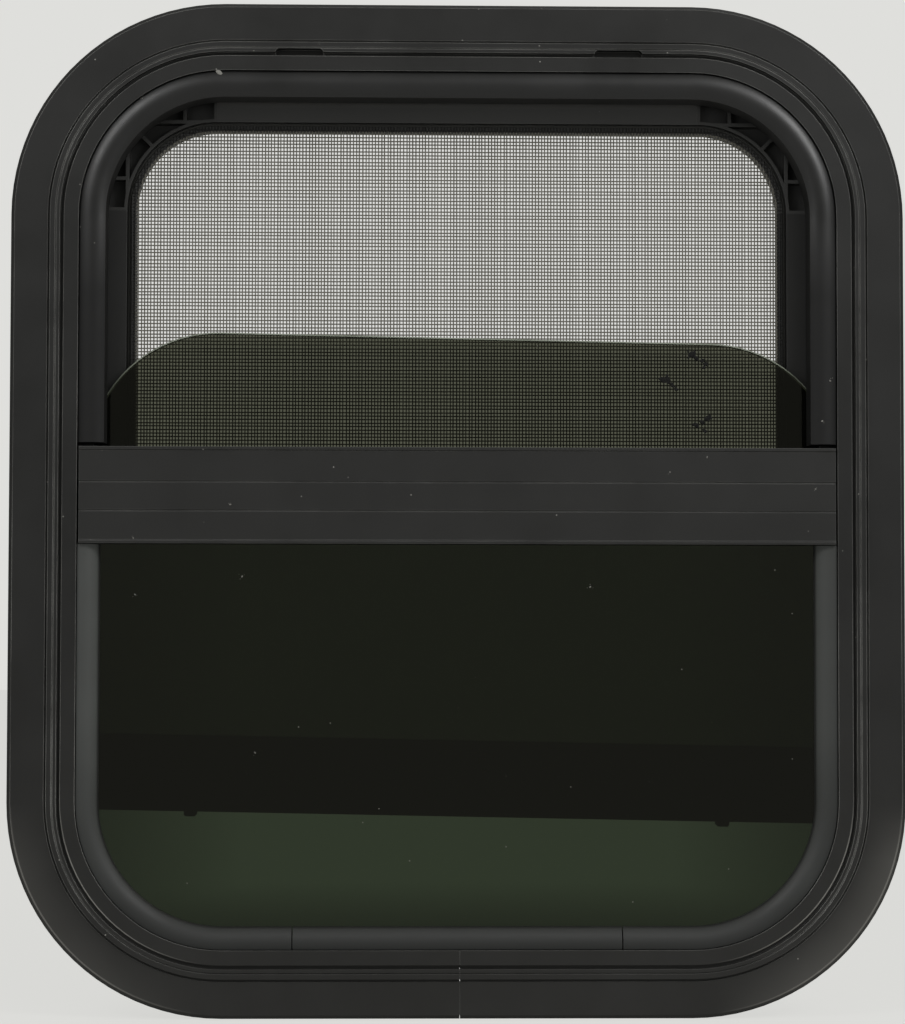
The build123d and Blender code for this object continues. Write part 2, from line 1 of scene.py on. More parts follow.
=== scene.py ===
# %% [markdown]
# # A caravan window, dressed
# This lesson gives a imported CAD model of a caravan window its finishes. The window
# is a bent aluminium frame with a rubber-glazed pane below, a sliding pane behind
# a meeting rail, and an insect screen above. The CAD pieces keep their shapes, so
# the first step only loads them and remembers how much room they take.

# %% Load the frame
import json
import math
import random

import bmesh
import bpy
from mathutils import Matrix, Vector


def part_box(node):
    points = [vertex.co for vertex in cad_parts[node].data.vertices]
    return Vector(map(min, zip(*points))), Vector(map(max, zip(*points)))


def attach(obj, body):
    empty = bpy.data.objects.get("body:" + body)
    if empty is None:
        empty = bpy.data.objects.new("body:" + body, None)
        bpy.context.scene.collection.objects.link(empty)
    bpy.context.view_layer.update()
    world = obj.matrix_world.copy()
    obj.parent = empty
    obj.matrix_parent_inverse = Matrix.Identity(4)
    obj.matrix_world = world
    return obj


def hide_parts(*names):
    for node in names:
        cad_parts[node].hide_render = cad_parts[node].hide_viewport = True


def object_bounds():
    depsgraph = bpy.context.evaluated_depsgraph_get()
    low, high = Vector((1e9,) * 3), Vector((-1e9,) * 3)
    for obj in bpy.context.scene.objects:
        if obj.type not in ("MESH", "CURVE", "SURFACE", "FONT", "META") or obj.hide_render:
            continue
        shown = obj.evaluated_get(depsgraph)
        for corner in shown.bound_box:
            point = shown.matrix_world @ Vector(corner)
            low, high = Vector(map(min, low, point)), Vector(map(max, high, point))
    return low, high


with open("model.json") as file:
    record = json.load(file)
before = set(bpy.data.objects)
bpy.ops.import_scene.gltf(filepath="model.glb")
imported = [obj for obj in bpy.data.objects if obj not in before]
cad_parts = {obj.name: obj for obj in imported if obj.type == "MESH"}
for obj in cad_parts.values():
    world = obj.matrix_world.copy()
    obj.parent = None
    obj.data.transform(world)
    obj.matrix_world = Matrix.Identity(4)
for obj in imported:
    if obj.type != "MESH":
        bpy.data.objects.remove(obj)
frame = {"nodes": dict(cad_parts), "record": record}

cad_low, cad_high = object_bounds()
# Sizes on the window are in millimetres, and MM turns them to the metres of the scene.
# The camera, the lamps and the floor are placed in metres.
MM = 0.001
print("CAD box in mm:", [round(v / MM, 1) for v in (cad_high - cad_low)])

# %% [markdown]
# ## Camera
# The photograph looks at the outside of the window almost square on. A camera can
# be placed by eye, or solved from edges that are known in millimetres. Here the
# place and the three small angles come from such a fit, and the lens follows from
# the focal length in pixels of a picture 905 wide and 1024 high. A sensor set to
# Auto belongs to the long side, which is the height here.

# %% Camera
PICTURE_HEIGHT = 1024
FOCAL_PIXELS = 2726.3
CAMERA_PLACE = (-0.0297, -1.2, 0.169)
LOOK_RIGHT = math.radians(1.30)
LOOK_UP = math.radians(2.38)
TILT = math.radians(0.1)

camera_data = bpy.data.cameras.new("photo_camera")
camera_data.sensor_fit = "AUTO"
camera_data.lens = FOCAL_PIXELS / PICTURE_HEIGHT * camera_data.sensor_width
camera = bpy.data.objects.new("photo_camera", camera_data)
camera.matrix_world = (
    Matrix.Translation(CAMERA_PLACE)
    @ Matrix.Rotation(-LOOK_RIGHT, 4, "Z")
    @ Matrix.Rotation(math.pi / 2 + LOOK_UP, 4, "X")
    @ Matrix.Rotation(TILT, 4, "Z")
)
bpy.context.scene.collection.objects.link(camera)
bpy.context.scene.camera = camera
print("lens in mm:", round(camera_data.lens, 2))

# %% [markdown]
# ## Colours and nodes
# Colours are written as sRGB hex values, the way a paint chart gives them, and one
# function turns them to the linear light that shaders work in. A second function
# adds a node, sets its options, and fills each input with a value or a link. Where
# inputs share a name they go by number: a Map Range takes a value, the two ends of
# its range and what they become as 0 to 4, a Mix takes the share and two colours
# as 0, 6 and 7, and a Mix Shader takes the share and two shaders as 0, 1 and 2.
# Patterns are sized from real millimetres, so a third turns a spacing into the
# scale of a texture that is measured in metres.

# %% Helpers for colours and nodes
def linear(hex_value):
    """Linear colour of an sRGB hex value such as #2d2d2c."""
    channels = [int(hex_value[i : i + 2], 16) / 255 for i in (1, 3, 5)]
    bent = [c / 12.92 if c <= 0.04045 else ((c + 0.055) / 1.055) ** 2.4 for c in channels]
    return (*bent, 1.0)


def add_node(tree, kind, inputs=None, **options):
    """Adds a node, sets its options, and fills inputs with values or links."""
    node = tree.nodes.new(kind)
    for name, value in options.items():
        setattr(node, name, value)
    for key, value in (inputs or {}).items():
        if isinstance(value, bpy.types.NodeSocket):
            tree.links.new(value, node.inputs[key])
        else:
            node.inputs[key].default_value = value
    return node


def per_metre(spacing_mm):
    """Texture scale of a pattern that repeats about every spacing_mm."""
    return 1.0 / (spacing_mm * MM)


def start_material(name):
    """An empty material, its node tree and its Object coordinates."""
    material = bpy.data.materials.new(name)
    material.use_nodes = True
    material.node_tree.nodes.clear()
    tree = material.node_tree
    place = add_node(tree, "ShaderNodeTexCoord").outputs["Object"]
    return material, tree, place


# %% [markdown]
# ## Light and floor
# The photograph was taken in soft light that comes most from high on both sides:
# the round seal shines only at its two upper corners. Two softboxes give that, and
# three fills lift the shadows. The world is a pale backdrop to the eye, a soft light
# to dull surfaces and a dim room in reflections, so that dark glass stays dark. The
# floor is plain.

# %% World
BACKDROP = "#dfdfdc"
SOFT_LIGHT = "#a9a9a7"
DIM_ROOM = "#82827e"
world = bpy.data.worlds.new("pale_studio")
world.use_nodes = True
tree = world.node_tree
tree.nodes.clear()
ray = add_node(tree, "ShaderNodeLightPath").outputs
soft, dim, pale = (
    add_node(tree, "ShaderNodeBackground", {"Color": linear(shade)}).outputs[0]
    for shade in (SOFT_LIGHT, DIM_ROOM, BACKDROP)
)
unseen = add_node(tree, "ShaderNodeMixShader", {0: ray["Is Glossy Ray"], 1: soft, 2: dim})
either = add_node(
    tree,
    "ShaderNodeMixShader",
    {0: ray["Is Camera Ray"], 1: unseen.outputs[0], 2: pale},
)
add_node(tree, "ShaderNodeOutputWorld", {"Surface": either.outputs[0]})
bpy.context.scene.world = world
bpy.context.scene.view_settings.view_transform = "Standard"
print("world:", world.name)

# %% Softboxes
AIM = Vector((0, 0, 0.22))
# Name, place, width and height in metres, watts, and whether it gleams on the finishes.
SOFTBOXES = (
    ("softbox_left", (-0.85, -0.90, 1.10), 0.5, 0.5, 5.6, True),
    ("softbox_right", (0.85, -0.90, 1.10), 0.5, 0.5, 8.4, True),
    ("low_fill_left", (-0.75, -1.5, 0.24), 0.7, 0.4, 4.8, False),
    ("low_fill_right", (0.70, -1.3, 0.24), 0.7, 0.4, 3.5, False),
    ("back_fill", (0.2, 1.5, 1.6), 1.2, 1.2, 5.0, True),
)
for name, spot, width, height, watts, gleams in SOFTBOXES:
    light = bpy.data.lights.new(name, "AREA")
    light.shape = "RECTANGLE"
    light.size = width
    light.size_y = height
    light.energy = watts
    lamp = bpy.data.objects.new(name, light)
    lamp.location = spot
    lamp.rotation_euler = (AIM - Vector(spot)).to_track_quat("-Z", "Y").to_euler()
    lamp.visible_camera = False
    lamp.visible_glossy = gleams
    bpy.context.scene.collection.objects.link(lamp)
print("lamps:", len(SOFTBOXES))

# %% Floor paint
LIT_FLOOR = "#9d9d9a"
SEEN_FLOOR = "#e2e2df"
PALE_SHARE = 0.86
floor_paint, tree, _ = start_material("pale_matt_floor")
ray = add_node(tree, "ShaderNodeLightPath").outputs
tone = add_node(
    tree,
    "ShaderNodeMix",
    {0: ray["Is Camera Ray"], 6: linear(LIT_FLOOR), 7: linear(SEEN_FLOOR)},
    data_type="RGBA",
)
matt = add_node(tree, "ShaderNodeBsdfDiffuse", {"Color": tone.outputs[2]})
# The eye and the reflections see the floor run into the backdrop without a step.
pale = add_node(tree, "ShaderNodeEmission", {"Color": linear(BACKDROP)})
dim = add_node(tree, "ShaderNodeEmission", {"Color": linear(DIM_ROOM)})
share = add_node(
    tree,
    "ShaderNodeMath",
    {0: ray["Is Camera Ray"], 1: PALE_SHARE},
    operation="MULTIPLY",
)
blend = add_node(
    tree,
    "ShaderNodeMixShader",
    {0: share.outputs[0], 1: matt.outputs[0], 2: pale.outputs[0]},
)
level = add_node(
    tree,
    "ShaderNodeMixShader",
    {0: ray["Is Glossy Ray"], 1: blend.outputs[0], 2: dim.outputs[0]},
)
add_node(tree, "ShaderNodeOutputMaterial", {"Surface": level.outputs[0]})
print("floor paint:", floor_paint.name)

# %% Floor
FLOOR_SIZE = 12.0
FLOOR_GAP = 0.0002
mesh = bpy.data.meshes.new("floor")
shape = bmesh.new()
bmesh.ops.create_grid(shape, x_segments=1, y_segments=1, size=FLOOR_SIZE / 2)
bmesh.ops.translate(shape, vec=(0, 0, cad_low.z - FLOOR_GAP), verts=shape.verts)
shape.to_mesh(mesh)
shape.free()
mesh.materials.append(floor_paint)
floor = bpy.data.objects.new("floor", mesh)
bpy.context.scene.collection.objects.link(floor)
print("floor at mm:", round(cad_low.z / MM, 2))

# %% [markdown]
# ## Dust and painted shade
# A window that has stood about carries a few pale specks. They could be scattered
# as tiny meshes, but a Voronoi texture is lighter: it puts one point in every cell,
# and only cells whose random colour passes a limit keep theirs. Painted shade is the
# other way round: it darkens grooves, slots and creases, where shade falls. Those lie
# deeper along Y than the face around them, so depth alone finds them.

# %% Specks of dust
DUST_SPACING = 7.0
DUST_RADIUS = 0.40
DUST_CORE = 0.20


def dust_mask(tree, place, kept):
    """A socket that is 1 on specks of dust and 0 elsewhere; kept is the share of cells."""
    cells = add_node(
        tree,
        "ShaderNodeTexVoronoi",
        {"Vector": place, "Scale": per_metre(DUST_SPACING)},
        feature="F1",
    )
    lot = add_node(tree, "ShaderNodeSeparateColor", {0: cells.outputs["Color"]})
    near = add_node(
        tree,
        "ShaderNodeMapRange",
        {
            0: cells.outputs["Distance"],
            1: DUST_RADIUS / DUST_SPACING,
            2: DUST_CORE / DUST_SPACING,
            3: 0.0,
            4: 1.0,
        },
    )
    chosen = add_node(tree, "ShaderNodeMath", {0: lot.outputs[0], 1: kept}, operation="LESS_THAN")
    mask = add_node(
        tree,
        "ShaderNodeMath",
        {0: near.outputs[0], 1: chosen.outputs[0]},
        operation="MULTIPLY",
    )
    return mask.outputs[0]


def with_specks(tree, place, colour, dust):
    """Colour with specks of dust, given as the share of cells and their colour."""
    kept, pale = dust
    mixed = add_node(
        tree,
        "ShaderNodeMix",
        {0: dust_mask(tree, place, kept), 6: colour, 7: linear(pale)},
        data_type="RGBA",
    )
    return mixed.outputs[2]


# %% Painted shade in creases
# Painted shade: the black darkens deep outward faces, where shade falls in grooves, slots and
# creases. The grey is painted light that lifts a shaded groove.
PAINTED_SHADE_BLACK = "#070707"
PAINTED_LIFT_GREY = "#4b4b48"
OUTWARD_NORMAL = -0.3


def with_crease_shading(tree, place, colour, crease_shading):
    """Colour with a share of painted shade on outward faces, from none to full in mm along Y; a
    grey colour lifts the shade instead.
    """
    if crease_shading is None:
        return colour
    shading_none, full, share, dirt_light_and_shade = crease_shading
    depth = add_node(tree, "ShaderNodeSeparateXYZ", {0: place})
    sunk = add_node(
        tree,
        "ShaderNodeMapRange",
        {0: depth.outputs["Y"], 1: shading_none * MM, 2: full * MM, 3: 0.0, 4: share},
    )
    normal = add_node(tree, "ShaderNodeTexCoord").outputs["Normal"]
    facing = add_node(tree, "ShaderNodeSeparateXYZ", {0: normal})
    outward = add_node(
        tree,
        "ShaderNodeMath",
        {0: facing.outputs["Y"], 1: OUTWARD_NORMAL},
        operation="LESS_THAN",
    )
    shading_share = add_node(
        tree,
        "ShaderNodeMath",
        {0: sunk.outputs[0], 1: outward.outputs[0]},
        operation="MULTIPLY",
    )
    mixed = add_node(
        tree,
        "ShaderNodeMix",
        {0: shading_share.outputs[0], 6: colour, 7: linear(dirt_light_and_shade)},
        data_type="RGBA",
    )
    return mixed.outputs[2]


# %% [markdown]
# ## Distance from a field
# Some painted shade and sheen follows the round corners of the window. Its mask could
# be painted, but a distance is simpler: round a square-cornered field in the middle of
# the window the lines of equal distance have round corners, just as the bent frame has.
# Four vector nodes work it out. Left and right count alike, so where one side gets more
# of it a second helper gives each side its own share.

# %% Distance from a field
def beyond_field(tree, place, half_mm, level_mm, slope):
    """Sideways and upright parts, and length, of the way out of a field, in metres.

    The field reaches half_mm to each side and up or down to level_mm. A slope of 1
    measures upwards from the level, and a negative one downwards; a steeper slope
    makes the distance grow faster up or down than sideways.
    """
    mirrored = add_node(tree, "ShaderNodeVectorMath", {0: place}, operation="ABSOLUTE")
    past = add_node(
        tree,
        "ShaderNodeVectorMath",
        {
            0: mirrored.outputs[0],
            1: (1.0, 0.0, slope),
            2: (-half_mm * MM, 0.0, -slope * level_mm * MM),
        },
        operation="MULTIPLY_ADD",
    )
    outside = add_node(
        tree,
        "ShaderNodeVectorMath",
        {0: past.outputs[0], 1: (0.0, 0.0, 0.0)},
        operation="MAXIMUM",
    )
    length = add_node(tree, "ShaderNodeVectorMath", {0: outside.outputs[0]}, operation="LENGTH")
    parts = add_node(tree, "ShaderNodeSeparateXYZ", {0: outside.outputs[0]})
    return parts.outputs["X"], parts.outputs["Z"], length.outputs["Value"]


SIDES_AT = 100.0


def left_to_right(tree, place, shares):
    """A socket that goes from the first share at the left to the second at the right."""
    spot = add_node(tree, "ShaderNodeSeparateXYZ", {0: place})
    hand = add_node(
        tree,
        "ShaderNodeMapRange",
        {0: spot.outputs["X"], 1: -SIDES_AT * MM, 2: SIDES_AT * MM, 3: shares[0], 4: shares[1]},
    )
    return hand.outputs[0]


# %% [markdown]
# ## Lower corners of the frame
# A painted sheen pales the outer face at the two lower corners, more at the right one,
# and painted highlights lie along the edge of the inner band and along the rim, where
# these edges catch light. A painted mask could do this too. Here the field has its
# corners in the centres of the two lower bends, so one distance finds the face and both
# edges, and follows the bends if their radius changes.

# %% Painted sheen at the lower corners
FLANGE_RADIUS = 94.0
corner_half = cad_high.x / MM - FLANGE_RADIUS
corner_level = cad_low.z / MM + FLANGE_RADIUS
# The painted sheen grows with the drop below the bend's centre and with the way out to the side.
BEND_DROP = 25.0
BEND_SIDE = (10.0, 50.0)
# The painted sheen grows across the face between these distances from the bend's centre, to
# one share at the left and another at the right.
OUTER_FACE = (76.0, 93.0)
CORNER_SHEEN = (0.08, 0.155)
# Pale colour for a film low on the coat, for a painted sheen and for painted light.
PALE_DUST_AND_LIGHT = "#8f8d87"
# Distance of the band's edge and of the rim, and the share of painted highlight on each.
CORNER_HIGHLIGHT_LINES = ((70.5, 0.5), (92.0, 0.25))
CORNER_HIGHLIGHT_HALF = 0.35
FLANGE_FRONT = -2.0


def corner_sheen(tree, place, colour):
    """Colour with a painted sheen on the outer face and painted highlights on two edges at the
    lower corners.
    """
    side, drop, distance = beyond_field(tree, place, corner_half, corner_level, -1.0)
    low = add_node(
        tree,
        "ShaderNodeMapRange",
        {0: drop, 1: 0.0, 2: BEND_DROP * MM, 3: 0.0, 4: 1.0},
    )
    bend = add_node(
        tree,
        "ShaderNodeMapRange",
        {0: side, 1: BEND_SIDE[0] * MM, 2: BEND_SIDE[1] * MM, 3: 0.0, 4: low.outputs[0]},
    )
    # The same distance is found again behind the flange, which gets no painted sheen.
    depth = add_node(tree, "ShaderNodeSeparateXYZ", {0: place})
    front = add_node(
        tree,
        "ShaderNodeMath",
        {0: depth.outputs["Y"], 1: FLANGE_FRONT * MM},
        operation="LESS_THAN",
    )
    where = add_node(
        tree,
        "ShaderNodeMath",
        {0: bend.outputs[0], 1: front.outputs[0]},
        operation="MULTIPLY",
    )
    pale = add_node(
        tree,
        "ShaderNodeMapRange",
        {
            0: distance,
            1: OUTER_FACE[0] * MM,
            2: OUTER_FACE[1] * MM,
            3: 0.0,
            4: left_to_right(tree, place, CORNER_SHEEN),
        },
    ).outputs[0]
    # Each line is a painted highlight along an edge.
    for edge_at, rubbed in CORNER_HIGHLIGHT_LINES:
        line = add_node(
            tree,
            "ShaderNodeMath",
            {0: distance, 1: edge_at * MM, 2: CORNER_HIGHLIGHT_HALF * MM},
            operation="COMPARE",
        )
        pale = add_node(
            tree,
            "ShaderNodeMath",
            {0: line.outputs[0], 1: rubbed, 2: pale},
            operation="MULTIPLY_ADD",
        ).outputs[0]
    share = add_node(
        tree,
        "ShaderNodeMath",
        {0: pale, 1: where.outputs[0]},
        operation="MULTIPLY",
    )
    mixed = add_node(
        tree,
        "ShaderNodeMix",
        {0: share.outputs[0], 6: colour, 7: linear(PALE_DUST_AND_LIGHT)},
        data_type="RGBA",
    )
    return mixed.outputs[2]


print("centre of a lower bend in mm:", round(corner_half, 1), round(corner_level, 1))

# %% [markdown]
# ## Powder-coated aluminium
# The frame, the rails and the sash rail are extruded aluminium with a black satin
# powder coat. The powder melts into a skin with a fine orange peel and takes on faint
# brown and grey clouds where it has been handled. The orange peel is a bump of about a
# millimetre. Rounded edges come from the Bevel shader node, which bends the light on an
# edge without adding faces. Where its normal leaves the flat one there is an edge, and
# there a pale colour is painted on as a highlight.

# %% Painted edge highlights
BEVEL_SAMPLES = 6
# Painted highlight: a pale colour on the edges stands for the light they catch.
EDGE_HIGHLIGHT = "#90908c"
# How far the two normals agree where the painted highlight starts and where it is full.
HIGHLIGHT_STARTS, HIGHLIGHT_FULL = 0.998, 0.92
# The lower edges catch more light from below, so the painted highlight grows downwards.
LEAST_LIT_EDGES, MOST_LIT_EDGES, UPPER_HIGHLIGHT = 340, 60, 0.65
# In the bottom run the painted highlight fades again.
FADE_FULL, FADE_NONE, FADED_HIGHLIGHT = 20, 55, 0.1
# The clouds break the painted highlight up: where it is least and most, and its least share.
PATCH_LEAST, PATCH_MOST, PATCH_SHARE = 0.35, 0.65, 0.3


def edge_highlight_mask(tree, rounded, starts, full, share):
    """A socket that grows to share where the rounded normal leaves the flat one."""
    flat = add_node(tree, "ShaderNodeNewGeometry")
    along = add_node(
        tree,
        "ShaderNodeVectorMath",
        {0: rounded, 1: flat.outputs["Normal"]},
        operation="DOT_PRODUCT",
    )
    edge = add_node(
        tree,
        "ShaderNodeMapRange",
        {0: along.outputs["Value"], 1: starts, 2: full, 3: 0.0, 4: share},
    )
    return edge.outputs[0]


def edge_highlights(tree, colour, clouds, rounded, height, edge_light):
    """Colour of the coat with painted highlights on its edges in patches, least high up and in the
    bottom run.
    """
    reach = add_node(
        tree,
        "ShaderNodeMapRange",
        {0: height, 1: LEAST_LIT_EDGES * MM, 2: MOST_LIT_EDGES * MM, 3: UPPER_HIGHLIGHT * edge_light, 4: edge_light},
    )
    lit_reach = add_node(
        tree,
        "ShaderNodeMapRange",
        {0: height, 1: FADE_FULL * MM, 2: FADE_NONE * MM, 3: FADED_HIGHLIGHT * edge_light, 4: reach.outputs[0]},
    )
    patchy = add_node(
        tree,
        "ShaderNodeMapRange",
        {0: clouds, 1: PATCH_LEAST, 2: PATCH_MOST, 3: PATCH_SHARE, 4: 1.0},
    )
    rubbed = add_node(
        tree,
        "ShaderNodeMath",
        {0: edge_highlight_mask(tree, rounded, HIGHLIGHT_STARTS, HIGHLIGHT_FULL, 1.0), 1: lit_reach.outputs[0]},
        operation="MULTIPLY",
    )
    highlight_share = add_node(
        tree,
        "ShaderNodeMath",
        {0: rubbed.outputs[0], 1: patchy.outputs[0]},
        operation="MULTIPLY",
    )
    highlighted = add_node(
        tree,
        "ShaderNodeMix",
        {0: highlight_share.outputs[0], 6: colour, 7: linear(EDGE_HIGHLIGHT)},
        data_type="RGBA",
    )
    return highlighted.outputs[2]


# %% Films of pale tone and painted shade
# Heights in mm without the film and with all of it, its share, and its colour. The
# coat grows a little paler towards the bottom. Painted shade darkens the screen's side
# rails, in the shade of the seal, and painted light lifts the shade right under it.
PALER_LOW_FILM = (200, 0, 0.030, PALE_DUST_AND_LIGHT)
PAINTED_SIDE_SHADE = (385, 365, 0.55, PAINTED_SHADE_BLACK)
PAINTED_LIFT_UNDER_SEAL = (401, 405, 0.13, PALE_DUST_AND_LIGHT)


def with_films(tree, height, colour, films):
    """Colour with thin films of pale tone, painted shade and painted light, each on a part of the
    height.
    """
    for none_at, full_at, share, dirt_light_and_shade in films:
        veil = add_node(
            tree,
            "ShaderNodeMapRange",
            {0: height, 1: none_at * MM, 2: full_at * MM, 3: 0.0, 4: share},
        )
        colour = add_node(
            tree,
            "ShaderNodeMix",
            {0: veil.outputs[0], 6: colour, 7: linear(dirt_light_and_shade)},
            data_type="RGBA",
        ).outputs[2]
    return colour


# %% Powder coat
CLOUD_SIZE = 45.0
COAT_EDGE = 0.45
COAT_DUST = (0.30, "#7d7c77")
# Orange peel of about 1.2 mm, a little coarser than life so that it shows.
PEEL_SIZE = 1.2
PEEL_DEPTH = 0.05
SMOOTHER, ROUGHER = 0.05, 0.06
# Most of a noise texture lies between these two values.
NOISE_LOW, NOISE_HIGH = 0.3, 0.7


def powder_coat(name, colour, cloud, rough, edge_light, crease_shading=None, films=(PALER_LOW_FILM,), bent=False):
    """Black satin powder coat: orange peel, soft clouds, dust, painted highlights and painted
    shade.
    """
    material, tree, place = start_material(name)
    clouds = add_node(
        tree,
        "ShaderNodeTexNoise",
        {"Vector": place, "Scale": per_metre(CLOUD_SIZE), "Detail": 6.0, "Roughness": 0.68},
    ).outputs["Fac"]
    body = add_node(
        tree,
        "ShaderNodeMix",
        {0: clouds, 6: linear(colour), 7: linear(cloud)},
        data_type="RGBA",
    )
    rounded = add_node(
        tree,
        "ShaderNodeBevel",
        {"Radius": COAT_EDGE * MM},
        samples=BEVEL_SAMPLES,
    ).outputs[0]
    height = add_node(tree, "ShaderNodeSeparateXYZ", {0: place}).outputs["Z"]
    coat = edge_highlights(tree, body.outputs[2], clouds, rounded, height, edge_light)
    coat = with_films(tree, height, coat, films)
    # At the lower corners the frame's coat takes a painted sheen and painted highlights.
    if bent:
        coat = corner_sheen(tree, place, coat)
    coat = with_crease_shading(tree, place, coat, crease_shading)
    coat = with_specks(tree, place, coat, COAT_DUST)
    peel = add_node(
        tree,
        "ShaderNodeTexNoise",
        {"Vector": place, "Scale": per_metre(PEEL_SIZE), "Detail": 1.0},
    )
    bump = add_node(
        tree,
        "ShaderNodeBump",
        {
            "Strength": 0.10,
            "Distance": PEEL_DEPTH * MM,
            "Height": peel.outputs["Fac"],
            "Normal": rounded,
        },
    )
    handled = add_node(
        tree,
        "ShaderNodeMapRange",
        {0: clouds, 1: NOISE_LOW, 2: NOISE_HIGH, 3: rough - SMOOTHER, 4: rough + ROUGHER},
    )
    shader = add_node(
        tree,
        "ShaderNodeBsdfPrincipled",
        {"Base Color": coat, "Roughness": handled.outputs[0], "Normal": bump.outputs[0]},
    )
    add_node(tree, "ShaderNodeOutputMaterial", {"Surface": shader.outputs[0]})
    return material


# %% Coats of the frame, the rails and the screen
# Painted shade: black in the frame's grooves and weep slots and on the screen's lip, where shade
# falls.
FRAME_GROOVES = (-3.9, -2.9, 0.45, PAINTED_SHADE_BLACK)
SCREEN_GROOVE = (17.6, 18.3, 0.3, PAINTED_SHADE_BLACK)
finish = {
    "frame_black": powder_coat(
        "satin_powder_coat_frame",
        "#0f0f0e",
        "#20201f",
        0.47,
        1.0,
        crease_shading=FRAME_GROOVES,
        bent=True,
    ),
    "rail_black": powder_coat("satin_powder_coat_meeting_rail", "#191918", "#242423", 0.50, 0.35),
    "sash_black": powder_coat("satin_powder_coat_sash_rail", "#232322", "#282827", 0.48, 0.5),
    # The screen's coat is painted much paler than the frame's: painted light that lifts the shade
    # of the recess it stands in.
    "screen_black": powder_coat(
        "satin_powder_coat_screen",
        "#343433",
        "#3a3a39",
        0.50,
        0.3,
        crease_shading=SCREEN_GROOVE,
        films=(PAINTED_SIDE_SHADE, PAINTED_LIFT_UNDER_SEAL),
    ),
}
print("powder coats:", len(finish))

# %% [markdown]
# ## Rubber
# The gaskets are extruded rubber. Carbon makes it black, and with age wax and chalk
# come to the surface: the lower gasket has gone grey all over, while the upper seal
# is still dark and shiny. A soft noise varies the bloom, and a finer one makes the
# skin of the extrusion slightly rough. Painted shade darkens the lower gasket towards
# its bottom run and along the band of the frame, and painted light brightens the
# underside of the seal.

# %% Painted shade along the band
# Distance from the field of the lower corners where the gasket has no painted shade and where it
# touches the band.
BAND_UNSHADED = 51.0
BAND_TOUCH = 64.0


def side_shade(tree, place, colour, shares):
    """Colour with painted shade along the band on the upright runs, in shares at left and right.
    """
    if shares is None:
        return colour
    side = beyond_field(tree, place, corner_half, corner_level, -1.0)[0]
    dirt_light_and_shade = add_node(
        tree,
        "ShaderNodeMapRange",
        {
            0: side,
            1: BAND_UNSHADED * MM,
            2: BAND_TOUCH * MM,
            3: 0.0,
            4: left_to_right(tree, place, shares),
        },
    )
    mixed = add_node(
        tree,
        "ShaderNodeMix",
        {0: dirt_light_and_shade.outputs[0], 6: colour, 7: linear(PAINTED_SHADE_BLACK)},
        data_type="RGBA",
    )
    return mixed.outputs[2]


# %% Painted light on the underside
UNDERLIGHT_FULL_NORMAL = -0.7


def with_underside_light(tree, colour, underside_light):
    """Colour with painted light on faces that look down."""
    if underside_light is None:
        return colour
    normal = add_node(tree, "ShaderNodeTexCoord").outputs["Normal"]
    facing = add_node(tree, "ShaderNodeSeparateXYZ", {0: normal})
    under = add_node(
        tree,
        "ShaderNodeMapRange",
        {0: facing.outputs["Z"], 1: 0.0, 2: UNDERLIGHT_FULL_NORMAL, 3: 0.0, 4: 1.0},
    )
    mixed = add_node(
        tree,
        "ShaderNodeMix",
        {0: under.outputs[0], 6: colour, 7: linear(underside_light)},
        data_type="RGBA",
    )
    return mixed.outputs[2]


# %% Rubber
BLOOM_SIZE = 22.0
# A skin of about 0.9 mm, coarser than life so that it shows.
SKIN_SIZE = 0.9
SKIN_DEPTH = 0.04
RUBBER_DUST = (0.25, "#73726d")
GLOSSIER, DULLER = 0.05, 0.07
# Painted shade: towards the bottom run the rubber takes a darker colour, where less light falls.
FOOT_SHADE_STARTS, FOOT_SHADE_FULL = 125, 45
# Below the upper corners hands and sleeves have rubbed the skin dull.
RUB_STARTS, RUB_FULL = 350, 315
RUB_ROUGHNESS, RUB_SHINE_LOSS = 0.2, 0.4


